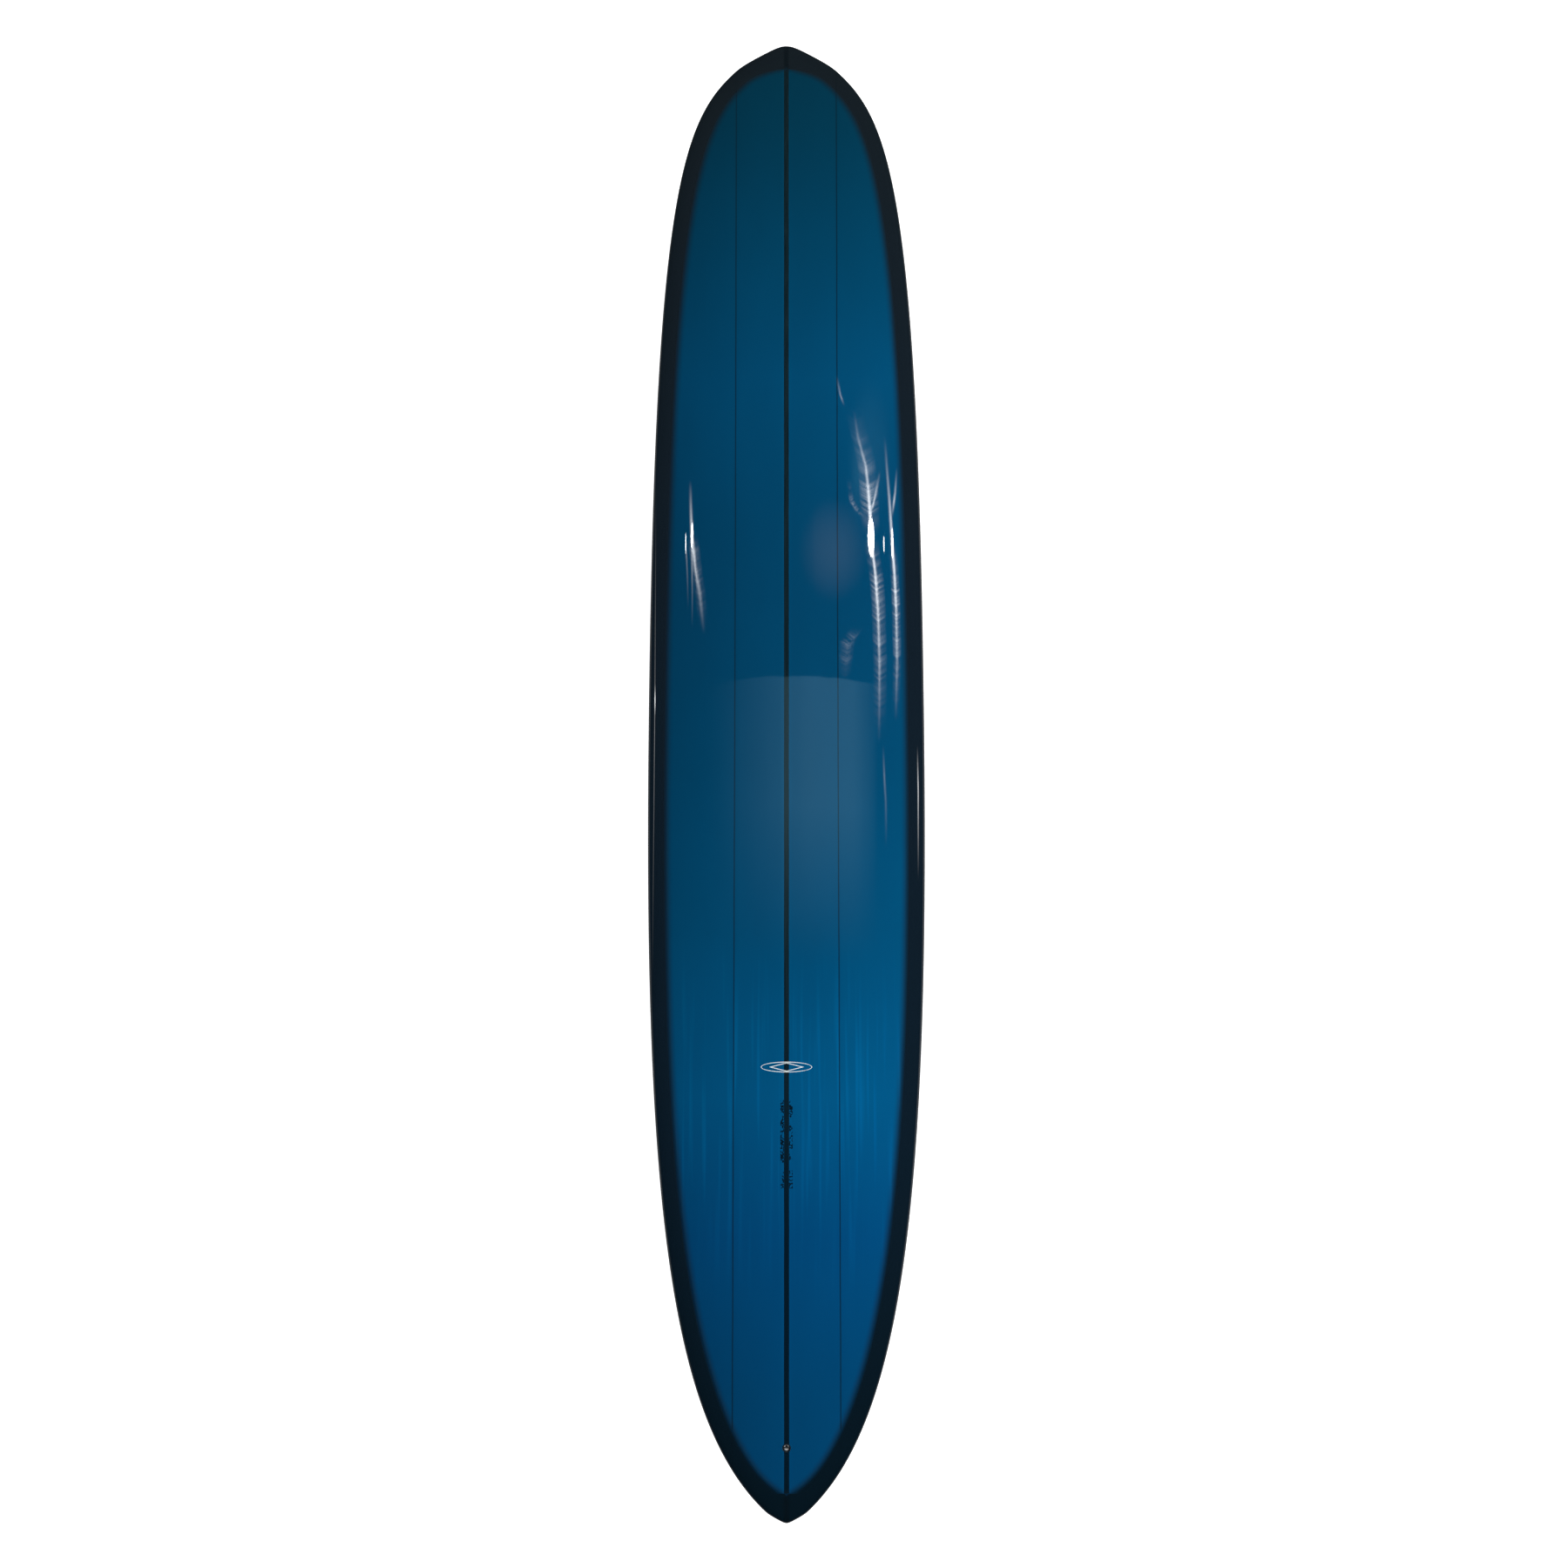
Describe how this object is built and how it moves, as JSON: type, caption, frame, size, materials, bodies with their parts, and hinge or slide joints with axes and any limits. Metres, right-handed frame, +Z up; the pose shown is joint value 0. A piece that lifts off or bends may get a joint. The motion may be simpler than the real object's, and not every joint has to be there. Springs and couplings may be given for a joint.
{
  "type": "surfboard",
  "caption": "Longboard surfboard with a blue resin-tinted deck, dark wrapped rails and bottom, wooden stringers, a leash cup and a removable single fin.",
  "frame": {"origin": "on the board's centreline at mid length, at the height of the fin's tip, which is the lowest point of the object", "axes": "deck up: +Y toward the nose, +X to the right seen from above with the nose away, +Z up out of the deck"},
  "size_m": [0.5746, 3.048, 0.3211],
  "materials": {
    "foam": "matte",
    "stringer_wood": "satin",
    "blue_laminate": "polished",
    "dark_laminate": "polished",
    "white_print": "gloss",
    "white_plastic": "gloss",
    "stainless": "gloss",
    "black_plastic": "satin",
    "fin_composite": "gloss",
    "brass_pin": "satin"
  },
  "bodies": {
    "board": {"foam_outer_left": "foam", "foam_inner_left": "foam", "foam_inner_right": "foam", "foam_outer_right": "foam", "center_stringer": "stringer_wood", "left_stringer": "stringer_wood", "right_stringer": "stringer_wood", "deck_laminate": "blue_laminate", "bottom_laminate": "dark_laminate", "deck_emblem": "white_print", "leash_cup": "white_plastic", "leash_bar": "stainless", "fin_box": "black_plastic"},
    "fin": {"fin_blade": "fin_composite", "fin_pin": "brass_pin"},
    "screw": {"fin_screw": "stainless"},
    "plate": {"fin_plate": "brass_pin"}
  },
  "joints": [
    {"name": "fin_slide", "type": "slide", "parent": "board", "child": "fin", "axis": [0, 0.9975, -0.0708], "range_m": [-0.028, 0.03]},
    {"name": "screw_turn", "type": "hinge", "parent": "fin", "child": "screw", "pos_m": [0, -1.12097, 0.22752], "axis": [0, -0.0708, -0.9975], "range_deg": [0, 360]},
    {"name": "plate_travel", "type": "slide", "parent": "fin", "child": "plate", "axis": [0, 0.0708, 0.9975], "range_m": [0, 0.0007]}
  ],
  "couplings": [
    {"joint": "screw_turn", "follows": "plate_travel", "rad_per_m": 8975}
  ]
}
